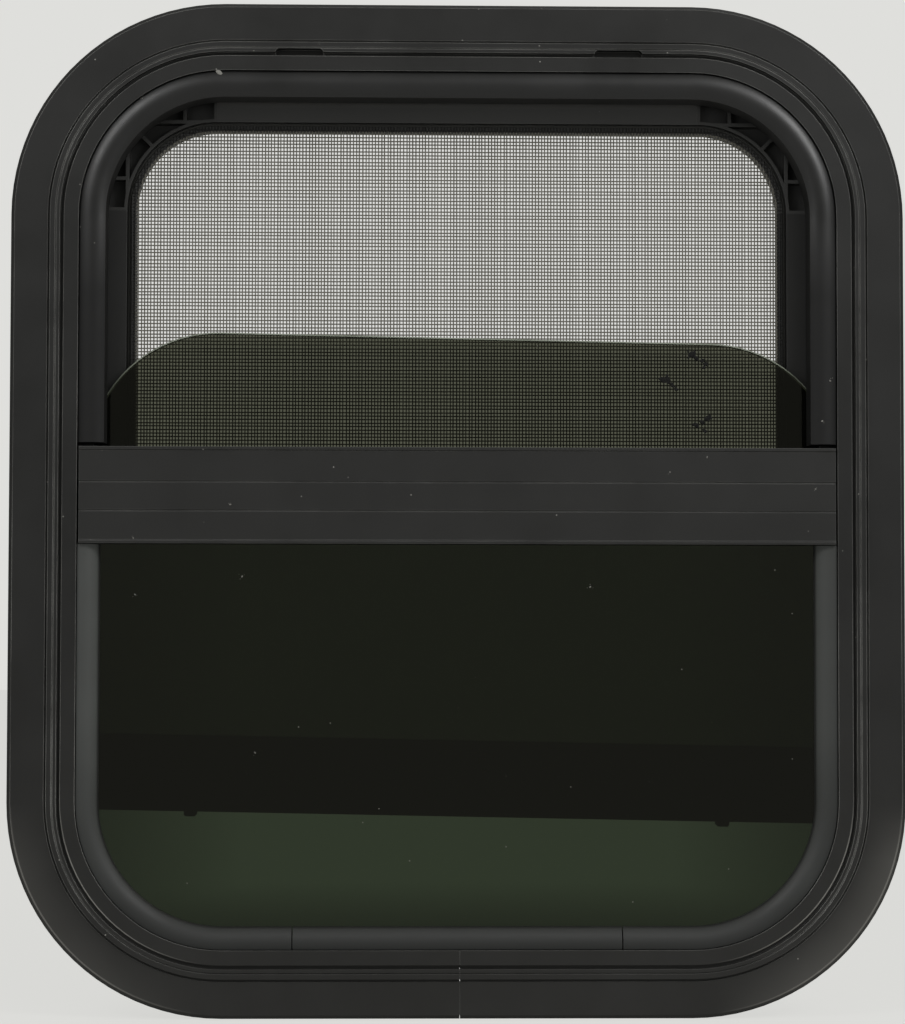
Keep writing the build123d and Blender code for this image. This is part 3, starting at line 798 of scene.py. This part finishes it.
def rubber(
    name,
    colour,
    bloom,
    rough,
    shaded_foot=None,
    underside_light=None,
    shine=0.5,
    crease_shading=None,
    dulled=0.0,
    band_shade=None,
):
    """Extruded rubber with a patchy bloom, a fine skin, a little dust, and painted shade and
    light.
    """
    material, tree, place = start_material(name)
    patches = add_node(
        tree,
        "ShaderNodeTexNoise",
        {"Vector": place, "Scale": per_metre(BLOOM_SIZE), "Detail": 4.0, "Roughness": 0.55},
    ).outputs["Fac"]
    body = add_node(
        tree,
        "ShaderNodeMix",
        {0: patches, 6: linear(colour), 7: linear(bloom)},
        data_type="RGBA",
    )
    height = add_node(tree, "ShaderNodeSeparateXYZ", {0: place}).outputs["Z"]
    foot_shade = add_node(
        tree,
        "ShaderNodeMapRange",
        {0: height, 1: FOOT_SHADE_STARTS * MM, 2: FOOT_SHADE_FULL * MM, 3: 0.0, 4: 1.0},
    )
    foot = add_node(
        tree,
        "ShaderNodeMix",
        {0: foot_shade.outputs[0], 6: body.outputs[2], 7: linear(shaded_foot or colour)},
        data_type="RGBA",
    )
    face = with_underside_light(tree, foot.outputs[2], underside_light)
    face = side_shade(tree, place, face, band_shade)
    face = with_crease_shading(tree, place, face, crease_shading)
    face = with_specks(tree, place, face, RUBBER_DUST)
    skin = add_node(
        tree,
        "ShaderNodeTexNoise",
        {"Vector": place, "Scale": per_metre(SKIN_SIZE), "Detail": 2.0},
    )
    bump = add_node(
        tree,
        "ShaderNodeBump",
        {"Strength": 0.15, "Distance": SKIN_DEPTH * MM, "Height": skin.outputs["Fac"]},
    )
    sheen = add_node(
        tree,
        "ShaderNodeMapRange",
        {0: patches, 1: NOISE_LOW, 2: NOISE_HIGH, 3: rough - GLOSSIER, 4: rough + DULLER},
    )
    rubbed = add_node(
        tree,
        "ShaderNodeMapRange",
        {0: height, 1: RUB_STARTS * MM, 2: RUB_FULL * MM, 3: 0.0, 4: dulled},
    )
    duller = add_node(
        tree,
        "ShaderNodeMath",
        {0: rubbed.outputs[0], 1: RUB_ROUGHNESS, 2: sheen.outputs[0]},
        operation="MULTIPLY_ADD",
    )
    gloss = add_node(
        tree,
        "ShaderNodeMath",
        {0: rubbed.outputs[0], 1: -RUB_SHINE_LOSS * shine, 2: shine},
        operation="MULTIPLY_ADD",
    )
    shader = add_node(
        tree,
        "ShaderNodeBsdfPrincipled",
        {
            "Base Color": face,
            "Roughness": duller.outputs[0],
            "Specular IOR Level": gloss.outputs[0],
            "Normal": bump.outputs[0],
        },
    )
    add_node(tree, "ShaderNodeOutputMaterial", {"Surface": shader.outputs[0]})
    return material


# %% Gaskets, seal, run, blocks and tape
# Painted shade: black in the crease where the gasket meets the glass stands for its contact shade.
# The grey on the screen's spline is painted light that lifts the shade in its groove.
GASKET_CREASE = (-1.0, 0.3, 0.9, PAINTED_SHADE_BLACK)
GASKET_BAND_SHADE = (0.3, 0.6)
# Only the screen's spline lies this deep; the glass run and the sash gasket don't.
SPLINE_LIFT = (16.5, 17.5, 0.6, PAINTED_LIFT_GREY)
finish["gasket_rubber"] = rubber(
    "chalky_gasket_rubber",
    "#434543",
    "#4c4e4c",
    0.55,
    shaded_foot="#292a29",
    crease_shading=GASKET_CREASE,
    band_shade=GASKET_BAND_SHADE,
)
finish["seal_rubber"] = rubber(
    "dark_seal_rubber", "#0d0d0d", "#121212", 0.41, underside_light="#262626", shine=0.72, dulled=1.0
)
finish["run_rubber"] = rubber(
    "flocked_run_rubber", "#131313", "#1a1a19", 0.75, crease_shading=SPLINE_LIFT
)
finish["block_rubber"] = rubber("hard_block_rubber", "#161616", "#1e1e1d", 0.6)
finish["glazing_tape"] = rubber("black_glazing_tape", "#181818", "#202020", 0.7)
print("finishes so far:", len(finish))

# %% [markdown]
# ## Tinted glass
# Both panes are dark green privacy glass, toughened and 4 mm thick. A true glass
# shader would bend light through each face and needs many samples. These panes are
# flat and thin, so a tinted Transparent shader under a mirror does as well: a ray
# crosses two faces, so each face takes the square root of the tint. The ground
# edge of a pane is frosted and looks pale, and the object normal tells it apart.
# Painted shade along the rubber lets less light through, the more the further a
# point lies from a field in the middle.

# %% Glass
MIRROR_TINT = "#fffff0"
GROUND_EDGE = "#777c70"
GLASS_DUST = (0.12, "#5f5f59")
FACE_NORMAL = 0.9
# The unshaded field: half its width, its foot, how fast the painted shade grows downwards, and its
# reach.
UNSHADED_HALF, UNSHADED_FOOT, SHADE_SLOPE, SHADE_REACH = 95, 56, -3.5, 65


def shaded_tint(tree, place, passed, dirt_light_and_shade):
    """The tint of one face, with a margin of painted shade."""
    distance = beyond_field(tree, place, UNSHADED_HALF, UNSHADED_FOOT, SHADE_SLOPE)[2]
    margin = add_node(
        tree,
        "ShaderNodeMapRange",
        {0: distance, 1: 0.0, 2: SHADE_REACH * MM, 3: 0.0, 4: dirt_light_and_shade},
    )
    tint = add_node(
        tree,
        "ShaderNodeMix",
        {
            0: margin.outputs[0],
            6: (*[math.sqrt(share) for share in passed], 1.0),
            7: (0.0, 0.0, 0.0, 1.0),
        },
        data_type="RGBA",
    )
    return tint.outputs[2]


def tinted_glass(name, passed, rough, ior, dirt_light_and_shade=0.0):
    """Flat tinted glass: passed is the light that gets through the whole pane."""
    material, tree, place = start_material(name)
    film = add_node(
        tree,
        "ShaderNodeBsdfTransparent",
        {"Color": shaded_tint(tree, place, passed, dirt_light_and_shade)},
    )
    mirror = add_node(
        tree,
        "ShaderNodeBsdfGlossy",
        {"Color": linear(MIRROR_TINT), "Roughness": rough},
    )
    # Unbent rays would be mirrored back inside the pane, so its inner sides count as outer.
    inner = add_node(tree, "ShaderNodeNewGeometry").outputs["Backfacing"]
    either_side = add_node(
        tree,
        "ShaderNodeMapRange",
        {0: inner, 1: 0.0, 2: 1.0, 3: ior, 4: 1.0 / ior},
    )
    glance = add_node(tree, "ShaderNodeFresnel", {"IOR": either_side.outputs[0]})
    pane = add_node(
        tree,
        "ShaderNodeMixShader",
        {0: glance.outputs[0], 1: film.outputs[0], 2: mirror.outputs[0]},
    )
    kept, pale = GLASS_DUST
    dust = add_node(tree, "ShaderNodeBsdfDiffuse", {"Color": linear(pale)})
    dusty = add_node(
        tree,
        "ShaderNodeMixShader",
        {0: dust_mask(tree, place, kept), 1: pane.outputs[0], 2: dust.outputs[0]},
    )
    normal = add_node(tree, "ShaderNodeTexCoord").outputs["Normal"]
    facing = add_node(tree, "ShaderNodeSeparateXYZ", {0: normal})
    flat = add_node(tree, "ShaderNodeMath", {0: facing.outputs["Y"]}, operation="ABSOLUTE")
    rim = add_node(
        tree,
        "ShaderNodeMath",
        {0: flat.outputs[0], 1: FACE_NORMAL},
        operation="LESS_THAN",
    )
    ground = add_node(
        tree,
        "ShaderNodeBsdfPrincipled",
        {"Base Color": linear(GROUND_EDGE), "Roughness": 0.5},
    )
    whole = add_node(
        tree,
        "ShaderNodeMixShader",
        {0: rim.outputs[0], 1: dusty.outputs[0], 2: ground.outputs[0]},
    )
    add_node(tree, "ShaderNodeOutputMaterial", {"Surface": whole.outputs[0]})
    return material


finish["fixed_tint"] = tinted_glass(
    "green_privacy_glass_fixed", (0.030, 0.043, 0.0248), 0.02, 1.5, dirt_light_and_shade=0.32
)
finish["sash_tint"] = tinted_glass("green_privacy_glass_sash", (0.113, 0.118, 0.087), 0.03, 1.38)
print("finishes so far:", len(finish))

# %% [markdown]
# ## Nylon, yarn, pile and plain aluminium
# The corner keys of the screen are moulded black nylon, painted paler to lift the
# shade of the recess, the screen is fibreglass yarn coated in vinyl, painted a light
# grey for its dust and for the light on it, the brush strip is black pile, and the
# splice plate inside the neck is bare aluminium that still shows the marks of the die.
# Moulded edges carry a painted highlight. Where the cloth lies on the lip of the screen
# frame no light comes through it, so it gets painted shade there. The lip's inner edge
# is a rounded rectangle, and a point lies on the lip if it is further than the corner
# radius from a smaller square-cornered one.

# %% Small finishes
MOULDED_EDGE = 0.3
GRAIN_DEPTH = 0.05
# Painted highlight: the pale colour on moulded edges stands for the light they catch.
EDGE_HIGHLIGHT_STARTS, EDGE_HIGHLIGHT_FULL = 0.995, 0.85
# Painted shade in the deep cells of the corner keys.
KEY_CELLS = (17.5, 18.6, 0.2, PAINTED_SHADE_BLACK)


def moulded(name, colour, pale, rough, grain_mm, edge_highlight_share, crease_shading=None):
    """A plain moulded or spun surface with a fine grain, painted highlights on its edges and
    painted shade in creases.
    """
    material, tree, place = start_material(name)
    grain = add_node(
        tree,
        "ShaderNodeTexNoise",
        {"Vector": place, "Scale": per_metre(grain_mm), "Detail": 3.0},
    )
    rounded = add_node(
        tree,
        "ShaderNodeBevel",
        {"Radius": MOULDED_EDGE * MM},
        samples=BEVEL_SAMPLES,
    ).outputs[0]
    body = add_node(
        tree,
        "ShaderNodeMix",
        {
            0: edge_highlight_mask(tree, rounded, EDGE_HIGHLIGHT_STARTS, EDGE_HIGHLIGHT_FULL, edge_highlight_share),
            6: linear(colour),
            7: linear(pale),
        },
        data_type="RGBA",
    )
    bump = add_node(
        tree,
        "ShaderNodeBump",
        {
            "Strength": 0.2,
            "Distance": GRAIN_DEPTH * MM,
            "Height": grain.outputs["Fac"],
            "Normal": rounded,
        },
    )
    face = with_crease_shading(tree, place, body.outputs[2], crease_shading)
    shader = add_node(
        tree,
        "ShaderNodeBsdfPrincipled",
        {"Base Color": face, "Roughness": rough, "Normal": bump.outputs[0]},
    )
    add_node(tree, "ShaderNodeOutputMaterial", {"Surface": shader.outputs[0]})
    return material


# The keys' grey is painted paler than black nylon: painted light that lifts the shade of the
# recess.
finish["key_plastic"] = moulded(
    "moulded_black_nylon", "#343433", "#52524f", 0.45, 1.5, 0.25, crease_shading=KEY_CELLS
)
finish["pile"] = moulded("black_brush_pile", "#121212", "#1d1d1d", 0.9, 0.6, 0.3)
print("finishes so far:", len(finish))

# %% Yarn
LIP_WIDTH = 2.5
LIP_RADIUS = 36.0
LIP_BLUR = 0.4
# The yarn is painted a lighter grey for its dust and for the light on it; over the lip it gets
# painted shade.
DUSTY_LIT_YARN = "#605e56"
SHADED_YARN_ON_LIP = "#1c1c1b"
net_low, net_high = (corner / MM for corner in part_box("screen_mesh"))
square_half = net_high.x - LIP_WIDTH - LIP_RADIUS
square_top = net_high.z - LIP_WIDTH - LIP_RADIUS
yarn, tree, place = start_material("vinyl_coated_fibreglass_yarn")
lip_shade = add_node(
    tree,
    "ShaderNodeMapRange",
    {
        0: beyond_field(tree, place, square_half, square_top, 1.0)[2],
        1: LIP_RADIUS * MM,
        2: (LIP_RADIUS + LIP_BLUR) * MM,
        3: 0.0,
        4: 1.0,
    },
)
vinyl = add_node(
    tree,
    "ShaderNodeMix",
    {0: lip_shade.outputs[0], 6: linear(DUSTY_LIT_YARN), 7: linear(SHADED_YARN_ON_LIP)},
    data_type="RGBA",
)
shader = add_node(
    tree,
    "ShaderNodeBsdfPrincipled",
    {"Base Color": vinyl.outputs[2], "Roughness": 0.6},
)
add_node(tree, "ShaderNodeOutputMaterial", {"Surface": shader.outputs[0]})
finish["mesh_fibre"] = yarn
print("opening of the screen in mm:", round(2 * (net_high.x - LIP_WIDTH), 1))

# %% Bare aluminium
DIE_MARK = 0.5
MARK_STRETCH = (0.02, 1.0, 1.0)
LEAST_ROUGH, MOST_ROUGH = 0.28, 0.45
MILL_FINISH = "#b9bbbd"
bare, tree, place = start_material("mill_finish_aluminium")
stretch = add_node(tree, "ShaderNodeMapping", {"Vector": place, "Scale": MARK_STRETCH})
marks = add_node(
    tree,
    "ShaderNodeTexNoise",
    {"Vector": stretch.outputs[0], "Scale": per_metre(DIE_MARK), "Detail": 2.0},
)
dull = add_node(
    tree,
    "ShaderNodeMapRange",
    {
        0: marks.outputs["Fac"],
        1: NOISE_LOW,
        2: NOISE_HIGH,
        3: LEAST_ROUGH,
        4: MOST_ROUGH,
    },
)
shader = add_node(
    tree,
    "ShaderNodeBsdfPrincipled",
    {"Base Color": linear(MILL_FINISH), "Metallic": 1.0, "Roughness": dull.outputs[0]},
)
add_node(tree, "ShaderNodeOutputMaterial", {"Surface": shader.outputs[0]})
finish["mill_aluminium"] = bare
print("finishes:", len(finish))

# %% Put the finishes on the CAD pieces
for piece in frame["record"]["subparts"]:
    node = frame["nodes"][piece["node"]]
    node.material_slots[0].material = finish[piece["material_slot"]]

# %% [markdown]
# ## Insect mesh
# The screen cloth is woven 18 yarns to the inch across and 16 up. A see-through
# sheet with a pattern would do from afar, but real yarns throw real shadows, hide
# each other at a slant and stay sharp close by. Each yarn is one six-sided bar,
# cut to the rounded outline of the screen by a formula. The yarns are drawn about
# twice as thick as in life, because the real ones are under a pixel wide here.

# %% Yarns and finished pieces
YARN_RADIUS = 0.30
YARN_SIDES = 6


def finished_piece(name, shape, material, body):
    """Turns a bmesh into an object of the model that rides on a CAD body."""
    mesh = bpy.data.meshes.new(name)
    shape.to_mesh(mesh)
    shape.free()
    mesh.materials.append(material)
    piece = bpy.data.objects.new(name, mesh)
    bpy.context.scene.collection.objects.link(piece)
    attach(piece, body)
    return piece


def add_yarn(shape, start, end):
    """Adds a six-sided yarn from start to end, given in millimetres."""
    start, end = Vector(start) * MM, Vector(end) * MM
    run = end - start
    turn = run.to_track_quat("Z", "Y").to_matrix().to_4x4()
    bmesh.ops.create_cone(
        shape,
        cap_ends=True,
        segments=YARN_SIDES,
        radius1=YARN_RADIUS * MM,
        radius2=YARN_RADIUS * MM,
        depth=run.length,
        matrix=Matrix.Translation((start + end) / 2) @ turn,
    )


# %% Insect mesh
INCH = 25.4
ACROSS_PER_INCH = 18
UP_PER_INCH = 16
CORNER_RADIUS = LIP_RADIUS + LIP_WIDTH
SLACK = 0.14
WEAVE = 0.08
chance = random.Random(4)


def corner_drop(past):
    """How far the rounded outline falls back, past mm beyond the corner's centre."""
    past = min(max(past, 0.0), CORNER_RADIUS)
    return CORNER_RADIUS - math.sqrt(CORNER_RADIUS**2 - past**2)


net = bmesh.new()
net_y = (net_low.y + net_high.y) / 2
up_count = int((net_high.x - net_low.x) * ACROSS_PER_INCH / INCH)
for i in range(up_count):
    x = net_low.x + (i + 0.5) * INCH / ACROSS_PER_INCH
    foot, head = (x + chance.uniform(-SLACK, SLACK) for end in range(2))
    top = net_high.z - corner_drop(abs(x) - (net_high.x - CORNER_RADIUS))
    add_yarn(net, (foot, net_y - WEAVE, net_low.z), (head, net_y - WEAVE, top))
across_count = int((net_high.z - net_low.z) * UP_PER_INCH / INCH)
for i in range(across_count):
    z = net_low.z + (i + 0.5) * INCH / UP_PER_INCH
    left, right = (z + chance.uniform(-SLACK, SLACK) for end in range(2))
    reach = net_high.x - corner_drop(z - (net_high.z - CORNER_RADIUS))
    add_yarn(net, (-reach, net_y + WEAVE, left), (reach, net_y + WEAVE, right))
insect_mesh = finished_piece("insect_mesh_yarns", net, finish["mesh_fibre"], "frame")
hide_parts("screen_mesh")
print("yarns:", up_count, "up and", across_count, "across")

# %% [markdown]
# ## Butt joint
# The bent frame closes in a butt joint at the bottom, where the sawn ends catch light
# in a thin line. Grey blocks in the gap paint that highlight, so a grey hairline crosses
# the flange, the ridge and the inner band. Three thin blocks fill the gap, one for each
# raised strip of the section, a little below its face.

# %% Painted joint highlight
JOINT_X = 1.0
JOINT_WIDTH = 0.26
# Inset of a strip's two edges from the edge of the flange, and its front and back.
STRIPS = ((1.8, 16.2, -4.1, -2.2), (17.4, 21.6, -5.1, -3.4), (23.4, 29.7, -4.3, -1.6))
joint_highlight = moulded("grey_painted_joint_highlight", "#474745", "#52524f", 0.6, 1.0, 0.2)
highlight_strips = bmesh.new()
for inset_from, inset_to, front, back in STRIPS:
    height = cad_low.z / MM + (inset_from + inset_to) / 2
    middle = Vector((JOINT_X, (front + back) / 2, height))
    size = Vector((JOINT_WIDTH, back - front, inset_to - inset_from))
    bmesh.ops.create_cube(
        highlight_strips,
        size=1.0,
        matrix=Matrix.Translation(middle * MM) @ Matrix.Diagonal((*(size * MM), 1.0)),
    )
finished_piece("painted_joint_highlight_strips", highlight_strips, joint_highlight, "frame")
print("joint strips:", len(STRIPS))

# %% [markdown]
# ## Specks and flakes
# The photograph shows a few marks that are too big for the dust mask: pale specks
# on the frame, the seal, the rail and the lower pane, and three dark scraps on the
# sliding pane. Each speck is a small flattened ball, squashed onto the surface it
# lies on, with a few smaller ones around it. A scrap is a chain of four or five.

# %% Clusters of flattened balls
CLUSTER = 4
CRUMB_SIZE = (0.25, 0.5)
FLATTENED = (1.0, 0.15, 0.6, 1.0)


def add_scraps(shape, places, spread):
    """Adds a cluster of flattened balls at each place, given in millimetres."""
    for x, y, z, size in places:
        for k in range(CLUSTER):
            share = 1.0 if k == 0 else chance.uniform(*CRUMB_SIZE)
            side = 0.0 if k == 0 else spread
            spot = (
                x + chance.uniform(-side, side) * size,
                y,
                z + chance.uniform(-side, side) * size,
            )
            bmesh.ops.create_icosphere(
                shape,
                subdivisions=1,
                radius=size * share * MM,
                matrix=Matrix.Translation(Vector(spot) * MM)
                @ Matrix.Rotation(chance.uniform(0, math.pi), 4, "Y")
                @ Matrix.Diagonal(FLATTENED),
            )


# %% Pale specks
RAIL_FRONT = -5.0
LOWER_PANE_FRONT = 1.6
SPECK_SPREAD = 2.2
# Place and size: two at the upper left, six about the rail, four on the lower pane and
# four at the right.
SPECKS = (
    (-105.9, -4.4, 412.5, 1.8),
    (-139.6, -4.0, 400.8, 0.5),
    (-100.0, RAIL_FRONT, 221.7, 0.6),
    (-142.3, RAIL_FRONT, 206.9, 0.5),
    (-157.2, -5.4, 246.3, 0.5),
    (93.1, RAIL_FRONT, 236.5, 0.5),
    (109.5, RAIL_FRONT, 243.2, 0.5),
    (157.3, RAIL_FRONT, 229.2, 0.5),
    (-95.0, LOWER_PANE_FRONT, 190.3, 0.6),
    (-142.0, LOWER_PANE_FRONT, 182.3, 0.5),
    (58.4, LOWER_PANE_FRONT, 186.0, 0.6),
    (-88.9, LOWER_PANE_FRONT, 112.9, 0.5),
    (163.9, -5.0, 277.0, 0.6),
    (160.3, -5.35, 259.2, 0.6),
    (177.1, -4.75, 261.2, 0.5),
    (180.0, -4.2, 286.5, 0.4),
)
pale_grit = moulded("pale_grit", "#75746f", "#8a8983", 0.8, 0.4, 0.2)
specks = bmesh.new()
add_scraps(specks, SPECKS, SPECK_SPREAD)
finished_piece("pale_specks", specks, pale_grit, "frame")
print("specks:", len(SPECKS))

# %% Dark scraps
SASH_FRONT = 9.65
SCRAP_SPREAD = 0.8
# Place across and up, and size: three chains on the sliding pane.
SCRAPS = (
    (104.5, 290.0, 2.4),
    (106.3, 288.3, 1.7),
    (109.0, 287.2, 1.4),
    (110.4, 285.6, 1.3),
    (109.8, 284.1, 1.1),
    (91.6, 278.5, 2.4),
    (93.8, 278.3, 2.1),
    (95.6, 276.2, 1.3),
    (97.4, 274.3, 1.3),
    (111.6, 261.5, 2.0),
    (108.9, 259.7, 1.5),
    (106.2, 258.4, 1.7),
    (110.2, 255.7, 1.3),
)
dark_scrap = moulded("dry_dark_scraps", "#080807", "#100f0d", 0.9, 0.4, 0.2)
scraps = bmesh.new()
add_scraps(scraps, [(x, SASH_FRONT, z, size) for x, z, size in SCRAPS], SCRAP_SPREAD)
finished_piece("dark_scraps", scraps, dark_scrap, "sash")
print("scraps:", len(SCRAPS))
